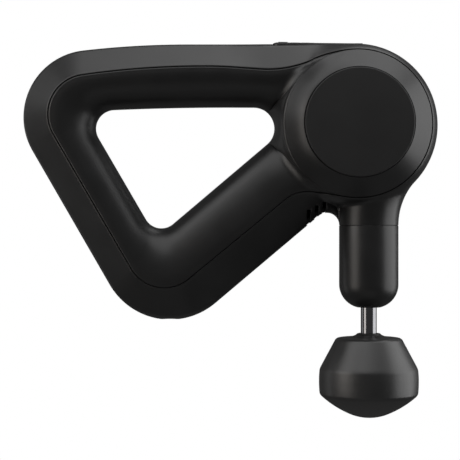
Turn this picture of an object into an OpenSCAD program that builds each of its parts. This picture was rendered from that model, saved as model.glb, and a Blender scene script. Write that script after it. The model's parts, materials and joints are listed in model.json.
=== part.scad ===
// Percussive massage gun with a three-sided grip, a drum-shaped motor head and a
// reciprocating shaft that carries a push-on round attachment.
// Frame: +Z up, +X from the grip towards the head, Y through the thickness,
// origin at the centre of the overall envelope. The front face looks along -Y.

/* [Head] */
// Outer radius of the drum-shaped head
head_r = 48.2; // [47:0.1:49]
// Half of the head's thickness, to the face of each cap
head_half = 34; // [33.5:0.1:34.5]
// Radius of the round cap on each side of the head
cap_r = 31.2; // [29:0.1:32]
// Thickness of each cap
cap_t = 2.6; // [2:0.1:3]

/* [Grip] */
// Wall of the moulded housing
wall = 2.4; // [2:0.1:2.6]
// Half of the grip's depth at its crown
peak_half = 18.7; // [18.5:0.1:20]
// Half of the grip's depth at the seam
seam_half = 18.5; // [17.5:0.1:18.5]

/* [Neck] */
// Outer radius of the neck
neck_r = 17.45; // [17:0.05:18]
// Radius of the neck's rounded lower edge
nose_round = 14; // [10:0.5:15]

/* [Drive] */
// Radius of the output shaft
shaft_r = 4.7; // [4.5:0.05:5]
// Full travel of the output shaft
stroke = 16; // [12:1:16]
// Running clearance round a turning or sliding shaft
run_gap = 0.03; // [0.02:0.01:0.08]

/* [Attachment] */
// Largest radius of the foam attachment
foam_r = 29.35; // [25:0.05:32]
// How deep the shaft sits in the attachment
socket_depth = 23; // [18:1:24]

/* [Hidden] */
$fn = 64;

// ---- Places in the side view, as [x, z] ----
head_c = [73.7, 61.3];
shaft_x = 81.9;
crank_z = head_c[1];
crank_r = stroke / 2;
top_z = head_c[1] + head_r;
neck_z = 2.9;
nose_z = -46;
boss_z = -60.9;
tip_z = boss_z - socket_depth;
foam_z = -110.7;
left_n = 210.2;      // direction that the grip's left side faces, in degrees
lower_n = 310.2;     // direction that the grip's lower side faces
seam_gap = 0.2;

// Each arc is [centre x, centre z, radius, first angle, last angle]. An arc whose angle
// falls is a hollow one. Straight stretches join one arc's end to the next one's start.
grip_opening = [
    [13.9, 59.9, 12.3, lower_n - 360, 90],
    [0, 72.25 - 1600, 1600, 90, 92.46],
    [-68.1, 59.8, 11, 92.46, left_n],
    [-40.5, 11.6, 10.6, left_n, lower_n]
];

function arc(c, r, a0, a1, n) =
    [for (i = [0:n]) let (a = a0 + (a1 - a0) * i / n) c + r * [cos(a), sin(a)]];
function along(p, q, t) = p + (q - p) * t;

// ---- Shared shapes ----
// Puts a drawing in the side view, [x, z], across the thickness from y0 to y1.
module side_slab(y0, y1) {
    translate([0, y1, 0]) rotate([90, 0, 0]) linear_extrude(y1 - y0) children();
}
// A cylinder across the thickness at a place in the side view.
module cross_rod(at, r, y0, y1) {
    translate([at[0], y1, at[1]]) rotate([90, 0, 0]) cylinder(r = r, h = y1 - y0);
}
module tube(r_out, r_in, h) {
    difference() {
        cylinder(r = r_out, h = h);
        translate([0, 0, -1]) cylinder(r = r_in, h = h + 2);
    }
}
module cross_ring(at, r_out, r_in, y0, y1) {
    translate([at[0], y1, at[1]]) rotate([90, 0, 0]) tube(r_out, r_in, y1 - y0);
}
module rounded_rect(w, h, r) {
    square([w - 2 * r, h], center = true);
    square([w, h - 2 * r], center = true);
    for (x = [-1, 1], y = [-1, 1]) translate([x * (w / 2 - r), y * (h / 2 - r)]) circle(r);
}
// Turns its children so that their own +X runs along the direction a in the side view.
module in_side_view(at, a) {
    translate([at[0], 0, at[1]]) rotate([0, -a, 0]) children();
}
// A round wire swept along points.
module wire(path, r, sides = 8) {
    n = len(path);
    points = [
        for (i = [0:n - 1])
            let (
                d = path[min(i + 1, n - 1)] - path[max(i - 1, 0)],
                t = d / norm(d),
                u0 = abs(t[1]) < 0.9 ? cross(t, [0, 1, 0]) : cross(t, [1, 0, 0]),
                u = u0 / norm(u0),
                v = cross(t, u)
            )
            for (k = [0:sides - 1]) path[i] + r * (u * cos(360 * k / sides) + v * sin(360 * k / sides))
    ];
    faces = concat(
        [[for (k = [0:sides - 1]) k]],
        [[for (k = [0:sides - 1]) (n - 1) * sides + sides - 1 - k]],
        [for (i = [0:n - 2], k = [0:sides - 1]) let (m = (k + 1) % sides, a = i * sides)
            each [[a + k, a + sides + k, a + m], [a + m, a + sides + k, a + sides + m]]]
    );
    polyhedron(points, faces);
}
// A pan-head machine screw: the head sits on the plane and the shank runs along -Z.
module screw(head_r, head_h, shank_r, shank_h) {
    difference() {
        cylinder(r = head_r, h = head_h);
        translate([0, 0, head_h - 0.9]) cylinder(r = head_r * 0.45, h = 2, $fn = 6);
    }
    translate([0, 0, -shank_h]) cylinder(r = shank_r, h = shank_h);
}

// ---- Housing ----
drum_half = 33.5;
cone_r = 43;
cone_h = 21.7;
cone_slope = 1.017;
bulge_from = 40;
bulge_h = 23.33;
flare_r = 39;
flare_a = -42.1;
armpit_r = 7.26;
armpit_c = [shaft_x - neck_r - armpit_r, neck_z];
crest_c = [45, 2];
crest_a = [130.2, 79.5];
seam_low_a = -100.5;
peak_at = 0.94;
edge_r = 5;
band_w = 16;
// The grip's half depth from its outer edge, w = 0, to the seam, w = 1: a rounded edge, then a
// flat flank. The edge is fuller, full = 1, where it carries the control pad
// and round the charging socket.
function flank(w, inset, full) =
    let (
        a = w * band_w,
        turn = edge_r * (1 - cos(45)) + 1.74 * full,
        bend_a = edge_r - full,
        bend_h = edge_r + 4.5 * full,
        rise = bend_h * sqrt(1 - pow(1 - turn / bend_a, 2))
    )
    (1 - inset / seam_half) * (a < turn ? bend_h * sqrt(1 - pow(1 - a / bend_a, 2))
        : rise + (a - turn) * (seam_half - rise) / (band_w - turn));
// From the seam, t = 1, over the crown to the opening's edge, t = 0.
function crown(t, inset) =
    (1 - inset / seam_half) * (t > peak_at
        ? peak_half - (peak_half - seam_half) * pow((t - peak_at) / (1 - peak_at), 3)
        : peak_half * sqrt(max(0, 1 - pow(1 - t / peak_at, 2))));
// The drum's half depth: a cone round the cap, then a bulge out to the head's rim.
function drum_height(r, inset) =
    let (q = r * head_r / (head_r - inset))
    (1 - inset / drum_half) * (q < cone_r ? min(drum_half, cone_h + cone_slope * (cone_r - q))
        : bulge_h * sqrt(max(0, 1 - pow((q - bulge_from) / (head_r - bulge_from), 2))));
function neck_height(p, inset) =
    let (
        h = p[1] - neck_z,
        left = shaft_x - neck_r + inset,
        right = shaft_x + neck_r + flare_r - sqrt(max(0, flare_r * flare_r - h * h)) - inset,
        x = (2 * p[0] - left - right) / (right - left)
    )
    h < -0.01 || h > 30 ? 0 : (neck_r - inset + h * h / 110) * sqrt(max(0, 1 - x * x));
// The height of the head and the neck over the middle plane, at a place in the side view.
function height(p, inset) = max(drum_height(norm(p - head_c), inset), neck_height(p, inset));
function drop_first(v) = [for (i = [1:len(v) - 1]) v[i]];
function drop_last(v) = [for (i = [0:len(v) - 2]) v[i]];
seam_top = [head_c[0], head_c[1] + 43 - 66];
// The seam from the head's top, round the three sides, to the head's underside.
function grip_seam(i) = concat(
    drop_first(arc(seam_top, 66 - i, 90, 114, 3)),
    arc([22.1, 154], 61 + i, 294, 265, 5),
    arc([-15, 94.9 - 250], 250 - i, 85, 90, 1),
    arc([-15, 94.9 - 496], 496 - i, 93, 98.2, 2),
    drop_first(arc([-82.2, 66.9], 23.2 - i, 98.2, left_n, 8)),
    arc([-38, -11.6], 22.2 - i, left_n, lower_n, 8),
    arc(crest_c, 20 + i, crest_a[0], crest_a[1], 3),
    [for (k = [1:2]) along(
        crest_c + (20 + i) * [cos(crest_a[1]), sin(crest_a[1])],
        head_c + (43 - i) * [cos(seam_low_a), sin(seam_low_a)], k / 3)]
);
function head_seam_low(i) = drop_last(arc(head_c, 43 - i, seam_low_a, flare_a, 10));
function head_seam_right(i) = arc(head_c, 43 - i, flare_a, 90, 12);
function seam_path(i) = concat(head_seam_right(i), grip_seam(i), head_seam_low(i));
// The silhouette, point for point with the seam, with the neck's open end.
function edge_path(i) =
    let (
        n = [cos(lower_n), sin(lower_n)],
        d = [-n[1], n[0]],
        start = armpit_c - (armpit_r + i) * n
    )
    concat(
        arc(head_c, head_r - i, flare_a, 90, 12),
        [for (k = [0:10]) [grip_seam(0)[k][0], top_z - i]],
        arc([-25, top_z - 537], 537 - i, 90.6, 96.6, 2),
        drop_first(arc([-82.2, 66.7], 39.7 - i, 96.6, left_n, 8)),
        arc([-35.3, -11.6], 41.3 - i, left_n, lower_n, 8),
        [for (k = [0:3]) start - 26 * (1 - k / 3) * d],
        [for (a = [90, 45]) armpit_c + (armpit_r + i) * [cos(a), sin(a)]],
        [for (a = [180:-30:0]) [shaft_x + (neck_r - i) * cos(a), neck_z]],
        [for (k = [1:3]) [shaft_x + neck_r + flare_r, neck_z]
            + (flare_r + i) * [cos(180 + flare_a * k / 4), sin(180 + flare_a * k / 4)]]
    );
// Two triangles for the four-cornered patch a, b, c, d.
function patch(a, b, c, d) = [[a, b, c], [a, c, d]];
// A patchwork between rows of equal length, numbered from first; turned flips its side.
function patches(first, rows, n, turned, closed = true) = [
    for (v = [0:rows - 2], u = [0:n - (closed ? 1 : 2)])
        let (a = first + v * n + u, b = first + v * n + (u + 1) % n)
        each turned ? patch(a, a + n, b + n, b) : patch(a, b, b + n, a + n)
];
band_rows = 7;
least_height = 0.5;
module band_wall() {
    s = seam_path(0);
    n = len(s);
    surface_size = band_rows * n;
    share = [for (u = [0:n - 1]) u < 13 || u >= n - 10 ? 0 : u == n - 11 ? 0.8 : 1];
    full = [for (q = s) q[1] > 90 ? max(0, min(1, q[0] / 20))
        : q[1] < 0 ? max(0, min(1, 2 - abs(q[0] - charge_x) / 8)) : 0];
    rows = [for (side = [-1, 1], inset = [0, wall]) let (e = edge_path(inset)) each
        [for (v = [0:band_rows - 1], u = [0:n - 1])
            let (
                w = pow(v / (band_rows - 1), 2),
                p = along(e[u], s[u], w),
                rim = v == 0 && e[u][1] < neck_z + 0.01,
                h = v == 0 && !rim ? 0
                    : rim ? sqrt(max(0, pow(neck_r - inset, 2) - pow(p[0] - shaft_x, 2)))
                    : max(least_height, height(p, inset), share[u] * flank(w, inset, full[u]))
            )
            [p[0], side * (h < 0.001 ? 0 : h), p[1]]]];
    rim_first = n - 10;
    last = (band_rows - 1) * n;
    faces = concat(
        patches(0, band_rows, n, true), patches(surface_size, band_rows, n, false),
        patches(2 * surface_size, band_rows, n, false), patches(3 * surface_size, band_rows, n, true),
        [for (u = [0:n - 1], k = [0, 2 * surface_size]) let (
            a = k + last + u, b = k + last + (u + 1) % n, m = surface_size)
            each k == 0 ? patch(a, a + m, b + m, b) : patch(a, b, b + m, a + m)],
        [for (u = [rim_first:rim_first + 5], k = [0, 2 * surface_size]) let (
            a = k + u, b = k + u + 1, m = surface_size)
            each k == 0 ? patch(a, b, b + m, a + m) : patch(a, a + m, b + m, b)]
    );
    polyhedron(rows, faces);
}
vent_x = [46.1, 50.8, 55.3];
vent_top = [12, 14.4, 16.4];
vent_h = 9.2;
charge_x = -35.3;
charge_z = -11.6 - 41.3;
pad_from = 25.2;
pad_to = 78;
pad_half = 7;
module outer_band() {
    color([0.11, 0.11, 0.12]) difference() {
        band_wall();
        for (i = [0:2]) translate([vent_x[i] - 1, -15, vent_top[i] - vent_h]) cube([2, 17, vent_h]);
        translate([pad_from - seam_gap, -pad_half - seam_gap, 85])
            cube([pad_to - pad_from + 2 * seam_gap, 2 * (pad_half + seam_gap), 30]);
        translate([charge_x, 0, charge_z - 1]) cylinder(r = collar_out_r + seam_gap, h = 12);
    }
}
// Nearest place on the opening's edge, taken off each arc or straight side.
function nearest(p, grow) =
    let (
        n = len(grip_opening),
        on_arcs = [for (a = grip_opening)
            let (d = p - [a[0], a[1]], t = atan2(d[1], d[0]),
                 k = t < a[3] - 0.001 ? t + 360 : t)
            if (k <= a[4] + 0.001) [a[0], a[1]] + (a[2] + grow) * d / norm(d)],
        on_sides = [for (i = [0:n - 1])
            let (
                a = grip_opening[i], b = grip_opening[(i + 1) % n],
                p0 = [a[0], a[1]] + (a[2] + grow) * [cos(a[4]), sin(a[4])],
                p1 = [b[0], b[1]] + (b[2] + grow) * [cos(b[3]), sin(b[3])],
                t = (p - p0) * (p1 - p0) / pow(norm(p1 - p0), 2)
            )
            if (t > 0 && t < 1) along(p0, p1, t)],
        all_places = concat(on_arcs, on_sides),
        gaps = [for (q = all_places) norm(q - p)]
    )
    all_places[[for (i = [0:len(gaps) - 1]) if (gaps[i] <= min(gaps)) i][0]];
recess_r = cap_r + 0.35;
floor_out = head_half - cap_t;
floor_in = floor_out - 3;
post_r = 3;
post_at = [for (a = [64, 116, 244, 296]) head_c + 26.5 * [cos(a), sin(a)]];
rear_post_at = [for (a = [115, 180, 245]) head_c + 26.5 * [cos(a), sin(a)]];
shell_rows = 8;
// Half of the housing inside the seam, on the -Y side.
module shell_wall() {
    inner_arc = drop_last(drop_first(arc(head_c, 43 - seam_gap, 90, 360 + seam_low_a, 12)));
    m = len(inner_arc);
    head_loop = concat(head_seam_right(seam_gap), inner_arc, head_seam_low(seam_gap));
    a = concat(
        [head_loop[12]], grip_seam(seam_gap), [head_loop[13 + m]],
        [for (k = [1:m]) inner_arc[m - k]]
    );
    n = len(a);
    hn = len(head_loop);
    radii = [43 - seam_gap, 40.5, 38, 35.5, 33.4, recess_r];
    function head_rows(inset) = [
        for (r = radii, q = head_loop) let (p = head_c + (q - head_c) * r / norm(q - head_c))
            [p[0], -(r < 33 && inset > 0 ? floor_in : height(p, inset)), p[1]],
        for (q = head_loop) let (p = head_c + (q - head_c) * recess_r / norm(q - head_c))
            [p[0], inset > 0 ? -floor_in : -floor_out, p[1]]
    ];
    function bar_rows(inset) = [
        for (v = [0:shell_rows - 1], u = [0:n - 1])
            let (w = sin(90 * v / (shell_rows - 1)), b = nearest(a[u], inset), p = along(a[u], b, w))
            [p[0], v == shell_rows - 1 ? -0.05 : -max(0.05, height(p, inset), crown(1 - w, inset)), p[1]]
    ];
    size_b = shell_rows * n;
    size_h = 7 * hn;
    points = concat(
        bar_rows(0), bar_rows(wall), head_rows(0), head_rows(wall),
        [[head_c[0], -floor_out, head_c[1]], [head_c[0], -floor_in, head_c[1]]]
    );
    h0 = 2 * size_b;
    h1 = h0 + size_h;
    centre = h1 + size_h;
    faces = concat(
        patches(0, shell_rows, n, false), patches(size_b, shell_rows, n, true),
        [for (u = [0:n - 1]) let (k = (shell_rows - 1) * n, v = (u + 1) % n)
            each patch(k + u, k + v, k + v + size_b, k + u + size_b)],
        [for (u = [0:len(grip_seam(0))]) each patch(u, u + size_b, u + 1 + size_b, u + 1)],
        patches(h0, 7, hn, false), patches(h1, 6, hn, true),
        [for (u = [0:hn - 1]) [h0 + 6 * hn + u, h0 + 6 * hn + (u + 1) % hn, centre]],
        [for (u = [0:hn - 1]) [h1 + 5 * hn + (u + 1) % hn, h1 + 5 * hn + u, centre + 1]],
        [for (u = [0:hn - 1]) if (u < 12 || u >= 13 + m)
            each patch(h0 + u, h1 + u, h1 + (u + 1) % hn, h0 + (u + 1) % hn)]
    );
    polyhedron(points, faces);
}
module front_shell() {
    color([0.1, 0.1, 0.11]) difference() {
        shell_wall();
        for (p = post_at) {
            cross_rod(p, 1.7, -floor_out - 1, -floor_in + 1);
            cross_rod(p, 3.1, -floor_out - 1, -floor_out + 1.9);
        }
    }
}
module rear_shell() {
    color([0.1, 0.1, 0.11]) difference() {
        mirror([0, 1, 0]) shell_wall();
        for (p = rear_post_at) {
            cross_rod(p, 1.7, floor_in - 1, floor_out + 1);
            cross_rod(p, 3.1, floor_out - 1.9, floor_out + 1);
        }
    }
}
module cap() {
    translate([head_c[0], -floor_out, head_c[1]]) rotate([90, 0, 0]) rotate_extrude()
        polygon([[0, 0], [cap_r, 0], [cap_r, cap_t - 0.9], [cap_r - 0.9, cap_t], [0, cap_t]]);
}
module front_cap() color([0.07, 0.07, 0.075]) cap();
module rear_cap() color([0.07, 0.07, 0.075]) mirror([0, 1, 0]) cap();

module nose_sleeve() {
    inner_r = neck_r - wall;
    inner_round = nose_round - wall;
    hole_r = shaft_r + 2.1;
    spigot_gap = 0.75;
    color([0.1, 0.1, 0.11]) translate([shaft_x, 0, 0]) rotate_extrude() polygon(concat(
        [[hole_r, nose_z]],
        arc([neck_r - nose_round, nose_z + nose_round], nose_round, -72, 0, 10),
        [[neck_r, neck_z - seam_gap], [inner_r - spigot_gap, neck_z - seam_gap],
         [inner_r - spigot_gap, neck_z + 5], [inner_r - spigot_gap - 1.2, neck_z + 5],
         [inner_r - spigot_gap - 1.2, neck_z - 2],
         [inner_r, neck_z - 3]],
        arc([inner_r - inner_round, nose_z + wall + inner_round], inner_round, 0, -60, 8),
        [[inner_r - inner_round / 2, nose_z + wall], [hole_r, nose_z + wall]]
    ));
}
module shaft_wiper() {
    color([0.05, 0.05, 0.05]) translate([shaft_x, 0, nose_z]) rotate_extrude() polygon([
        [shaft_r + run_gap, 0.3], [shaft_r + 2.1, 0.3], [shaft_r + 2.1, wall], [shaft_r + 3.4, wall],
        [shaft_r + 3.4, wall + 1.4], [shaft_r + run_gap, wall + 1.4]
    ]);
}

// ---- Drive frame, held in rubber ----
plate_y = [9.3, 12.8];
pad_t = 1.2;
lead_route_x = shaft_x + 17.2;
tube_top = 33;
tube_low = -38;
tube_r = 11.5;
bush_r = 7;
bush_h = 12;
module drive_frame() {
    color([0.62, 0.63, 0.65]) difference() {
        union() {
            cross_rod(head_c, 40, plate_y[0], plate_y[1]);
            cross_rod([shaft_x, crank_z], 8, plate_y[1] - 1, 21.6);
            for (p = post_at) {
                cross_rod(p, post_r + 1, -21, plate_y[0] + 1);
                cross_rod(p, post_r, -floor_in + pad_t, -20);
            }
            for (p = rear_post_at) cross_rod(p, post_r, plate_y[1] - 1, floor_in - pad_t);
            translate([shaft_x - 14, -5, 25]) cube([28, plate_y[1] + 4, tube_top - 25]);
            translate([shaft_x, 0, tube_low]) cylinder(r = tube_r, h = tube_top - tube_low - 1);
        }
        translate([shaft_x, 0, tube_low - 1]) cylinder(r = shaft_r + 1.2, h = 100);
        translate([shaft_x, 0, tube_low - 1]) cylinder(r = bush_r, h = bush_h + 1);
        translate([shaft_x, 0, tube_top - bush_h]) cylinder(r = bush_r, h = bush_h + 20);
        cross_rod([shaft_x, crank_z], 4.6, 0, 30);
        cross_rod([shaft_x, crank_z], 6.5, 0, plate_y[1]);
        cross_rod([shaft_x, crank_z], 6.5, 18.1, 30);
        for (p = post_at) cross_rod(p, 1.4, -40, -floor_in + 9);
        for (p = rear_post_at) cross_rod(p, 1.4, floor_in - 9, 40);
        cross_rod([lead_route_x, crank_z], 1.5, 0, 20);
    }
}
module guide_bushes() {
    color([0.72, 0.55, 0.3]) for (z = [tube_low, tube_top - bush_h])
        translate([shaft_x, 0, z]) tube(bush_r, shaft_r + run_gap, bush_h);
}
module neck_isolators() {
    color([0.06, 0.06, 0.06]) for (z = [-30, -8])
        translate([shaft_x, 0, z]) tube(neck_r - wall, tube_r, 5);
}
module frame_pads() {
    color([0.06, 0.06, 0.06]) {
        for (p = post_at) cross_ring(p, post_r, 1.7, -floor_in, -floor_in + pad_t);
        for (p = rear_post_at) cross_ring(p, post_r, 1.7, floor_in - pad_t, floor_in);
    }
}
module front_shell_screws() {
    color([0.2, 0.2, 0.21]) for (p = post_at)
        translate([p[0], -floor_out + 1.9, p[1]]) rotate([90, 0, 0]) screw(2.8, 1.7, 1.35, 9);
}
module rear_shell_screws() {
    color([0.2, 0.2, 0.21]) for (p = rear_post_at)
        translate([p[0], floor_out - 1.9, p[1]]) rotate([-90, 0, 0]) screw(2.8, 1.7, 1.35, 9);
}

// ---- Brushless motor, on the rear side of the frame ----
teeth = 12;
poles = 14;
module at_motor(y) translate([shaft_x, y, crank_z]) rotate([-90, 0, 0]) children();
module stator_core() {
    color([0.45, 0.46, 0.48]) at_motor(14) linear_extrude(7.5) difference() {
        union() {
            circle(10.4);
            for (i = [0:teeth - 1]) rotate(360 * i / teeth) {
                translate([9.5, -1.4]) square([9, 2.8]);
                intersection() {
                    difference() {
                        circle(20.4);
                        circle(18.4);
                    }
                    translate([17, -4.4]) square([5, 8.8]);
                }
            }
        }
        circle(8);
    }
}
module stator_windings() {
    color([0.72, 0.4, 0.2]) at_motor(13.1) for (i = [0:teeth - 1]) rotate(360 * i / teeth) difference() {
        translate([10.7, -2.6, 0]) cube([7.5, 5.2, 9.3]);
        translate([10, -1.45, 0.85]) cube([9, 2.9, 7.6]);
    }
}
module motor_bearings() {
    color([0.7, 0.71, 0.73]) for (y = [plate_y[1] - 3.5, 18.1])
        cross_ring([shaft_x, crank_z], 6.5, 3 + run_gap, y, y + 3.5);
}
module rotor_bell() {
    color([0.3, 0.31, 0.33]) difference() {
        cross_rod([shaft_x, crank_z], 24, 13.4, 27.2);
        cross_rod([shaft_x, crank_z], 22.6, 13, 25.2);
        cross_rod([shaft_x, crank_z], 3, 13, 30);
        for (a = [0:60:300])
            cross_rod([shaft_x, crank_z] + 14 * [cos(a), sin(a)], 4.2, 20, 30);
    }
}
module rotor_magnets() {
    color([0.6, 0.6, 0.62]) at_motor(14) for (i = [0:poles - 1]) rotate(360 * i / poles)
        rotate_extrude(angle = 22) translate([21, 0]) square([1.6, 7.5]);
}
module motor_shaft() color([0.7, 0.71, 0.73]) cross_rod([shaft_x, crank_z], 3, disc_y[0], 27.2);

// ---- Crank ----
pin_at = [shaft_x + crank_r, crank_z];
disc_y = [5.2, 8.8];
module crank_disc() {
    color([0.5, 0.51, 0.53]) difference() {
        union() {
            cross_rod([shaft_x, crank_z], 12.5, disc_y[0], disc_y[1]);
            intersection() {
                cross_rod([shaft_x, crank_z], 15.5, disc_y[0], disc_y[1]);
                translate([shaft_x - 22, 0, crank_z - 15]) cube([20, 20, 30]);
            }
        }
        cross_rod([shaft_x, crank_z], 3, 0, 20);
        cross_rod(pin_at, 2, 0, 20);
    }
}
module crank_pin() color([0.7, 0.71, 0.73]) cross_rod(pin_at, 2, -3.8, disc_y[1]);
roller_r = 5;
module crank_roller() color([0.66, 0.67, 0.69]) cross_ring(pin_at, roller_r, 2, -3.2, 3.4);

// ---- Reciprocating shaft ----
yoke_half = 3.5;
slot_free = 1.85;
neck_down_r = 3.2;
module slot_shape(reach, r) {
    square([2 * reach, 2 * r], center = true);
    for (s = [-1, 1]) translate([s * reach, 0]) circle(r);
}
module yoke() {
    color([0.5, 0.51, 0.53]) difference() {
        union() {
            translate([shaft_x, 0, crank_z]) side_slab(-yoke_half, yoke_half) slot_shape(crank_r, 11);
            translate([shaft_x, 0, crank_z - 14]) cylinder(r = 4.8, h = 5);
        }
        translate([shaft_x, 0, crank_z]) side_slab(-10, 10) slot_shape(crank_r, roller_r + slot_free);
        translate([shaft_x, 0, crank_z - 15]) cylinder(r = neck_down_r, h = 6);
        translate([shaft_x, -10, crank_z - 11.8]) rotate([-90, 0, 0]) cylinder(r = 1, h = 20);
    }
}
module yoke_pin() {
    color([0.7, 0.71, 0.73]) translate([shaft_x, -4.8, crank_z - 11.8]) rotate([-90, 0, 0])
        cylinder(r = 1, h = 9.6);
}
ring_z = [tip_z + 4, tip_z + 11];
module output_shaft() {
    top = crank_z - 9;
    color([0.72, 0.73, 0.75]) difference() {
        translate([shaft_x, 0, 0]) rotate_extrude() polygon([
            [0, tip_z], [shaft_r - 0.8, tip_z], [shaft_r, tip_z + 0.8],
            [shaft_r, ring_z[0]], [shaft_r - 0.9, ring_z[0]],
            [shaft_r - 0.9, ring_z[0] + 1.8], [shaft_r, ring_z[0] + 1.8],
            [shaft_r, ring_z[1]], [shaft_r - 0.9, ring_z[1]],
            [shaft_r - 0.9, ring_z[1] + 1.8], [shaft_r, ring_z[1] + 1.8],
            [shaft_r, crank_z - 18], [neck_down_r, crank_z - 17], [neck_down_r, top], [0, top]
        ]);
        translate([shaft_x, -10, crank_z - 11.8]) rotate([-90, 0, 0]) cylinder(r = 1, h = 20);
    }
}
module grip_rings() {
    color([0.05, 0.05, 0.05]) for (z = ring_z)
        translate([shaft_x, 0, z]) tube(shaft_r, shaft_r - 0.9, 1.8);
}

// ---- Attachment ----
socket_r = 10.5;
module attachment_core() {
    color([0.09, 0.09, 0.1]) translate([shaft_x, 0, 0]) rotate_extrude() polygon([
        [0, tip_z - 3], [socket_r, tip_z - 3], [socket_r, boss_z - 5.4], [11.4, boss_z - 5.4],
        [11.4, boss_z - 2.5], [9.4, boss_z - 1.7], [7.6, boss_z - 0.5], [6.6, boss_z],
        [shaft_r + run_gap, boss_z], [shaft_r + run_gap, tip_z - 0.3], [0, tip_z - 0.3]
    ]);
}
module attachment_foam() {
    flank = 59.4;
    tip = 29.4;
    tip_a = 23;
    flank_a = 42;
    flank_c = [tip * sin(tip_a) - flank * sin(tip_a), foam_z + tip - tip * cos(tip_a) + flank * cos(tip_a)];
    color([0.12, 0.12, 0.125]) translate([shaft_x, 0, 0]) rotate_extrude() polygon(concat(
        [[0, tip_z - 3], [0, foam_z]],
        arc([0, foam_z + tip], tip, -84, -90 + tip_a, 3),
        arc(flank_c, flank, -88 + tip_a, -90 + flank_a, 5),
        [[foam_r - 0.3, foam_z + 14.4], [foam_r, foam_z + 16], [foam_r, foam_z + 28],
         [foam_r - 0.6, foam_z + 29.7], [19.1, boss_z - 3.3], [18.4, boss_z - 2.8], [11.4, boss_z - 2.5],
         [11.4, boss_z - 5.4], [socket_r, boss_z - 5.4], [socket_r, tip_z - 3]]
    ));
}

// ---- Electronics ----
board_y = [-22.6, -21];
module main_board() {
    color([0.08, 0.25, 0.14]) difference() {
        cross_rod(head_c, 33, board_y[0], board_y[1]);
        for (p = post_at) cross_rod(p, post_r + 0.1, -40, 0);
        cross_rod(head_c, 5, -40, 0);
    }
}
module on_board(at) translate([head_c[0] + at[0], board_y[0], head_c[1] + at[1]]) rotate([90, 0, 0]) children();
module board_capacitors() {
    color([0.15, 0.16, 0.3]) for (at = [[-24, 8], [-24, -2], [-24, -12]]) on_board(at) cylinder(r = 4, h = 5.4);
}
chip_at = [[-8, -12], [0, -12], [8, -12], [-4, -22], [4, -22], [0, -29]];
module board_chips() {
    color([0.06, 0.06, 0.06]) {
        for (at = chip_at) on_board(at) translate([-2.7, -3, 0]) cube([5.4, 6, 1.6]);
        on_board([2, 14]) translate([-5, -5, 0]) cube([10, 10, 1.4]);
        on_board([-10, 13]) translate([-2.5, -2, 0]) cube([5, 4, 1.2]);
    }
}
connector_at = [[20, 8], [20, -6], [-4, 26]];
module board_connectors() {
    color([0.85, 0.84, 0.78]) for (at = connector_at) on_board(at) translate([-3.5, -5, 0]) cube([7, 10, 4]);
}

// ---- Control pad on top ----
pad_tilt = 0.6;
pad_dome = 14;
pad_z = 110.62;
// The pad's curved top, which falls slightly towards the head; lift raises it.
module pad_top(lift = 0) {
    translate([pad_from - 5, 0, pad_z + 0.1 + lift - pad_dome]) rotate([0, 90 + pad_tilt, 0])
        cylinder(r = pad_dome, h = 70);
}
module pad_prism(at, w, h, r, z0, lift = 0) {
    intersection() {
        translate([at[0], at[1], z0]) linear_extrude(12) rounded_rect(w, h, r);
        pad_top(lift);
    }
}
power_at = [31.2, 0];
ramp_z = 109.4;
ramp_a = 24;
key_r = 2.5;
key_at = [[38.4, 0], [44.8, 0]];
lens_at = [61.5, 0];
lens_size = [24, 10];
module control_pad() {
    color([0.09, 0.09, 0.1]) difference() {
        pad_prism([(pad_from + pad_to) / 2, 0], pad_to - pad_from, 2 * pad_half, 4, 105.6);
        translate([pad_from, -20, ramp_z]) rotate([0, -ramp_a, 0]) translate([-10, 0, 0])
            cube([30, 40, 20]);
        translate([power_at[0], 0, 100]) linear_extrude(20) rounded_rect(5.9, 9.4, 2.9);
        for (k = key_at) translate([k[0], k[1], 100]) cylinder(r = key_r + 0.2, h = 20);
        translate([lens_at[0], 0, 107.6]) linear_extrude(20)
            rounded_rect(lens_size[0] + 0.1, lens_size[1] + 0.1, 3);
        translate([lens_at[0], 0, 100]) linear_extrude(20)
            rounded_rect(lens_size[0] - 3, lens_size[1] - 3, 2);
    }
}
module display_lens() {
    color([0.02, 0.02, 0.025]) pad_prism(lens_at, lens_size[0], lens_size[1], 2.9, 107.6, -0.05);
}
module display_module() {
    color([0.12, 0.13, 0.16]) translate([lens_at[0], 0, 105.8]) linear_extrude(1.8)
        rounded_rect(lens_size[0] - 4, lens_size[1] - 4, 1.5);
}
panel_z = 102;
module panel_board() {
    color([0.08, 0.25, 0.14]) translate([51.5, 0, panel_z]) linear_extrude(1.4) rounded_rect(48, 16, 2);
}
module switch_domes() {
    color([0.75, 0.75, 0.76]) for (p = concat([power_at], key_at))
        translate([p[0], p[1], panel_z + 1.4]) cylinder(r = 2.2, h = 0.7);
}
module power_button() {
    color([0.14, 0.14, 0.15]) pad_prism(power_at, 5.5, 9, 2.7, 104.8, 0.35);
}
module key(at) {
    color([0.14, 0.14, 0.15]) intersection() {
        translate([at[0], at[1], 104.8]) cylinder(r = key_r, h = 12);
        pad_top(0.05);
    }
}
module speed_up_button() key(key_at[0]);
module speed_down_button() key(key_at[1]);

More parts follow.
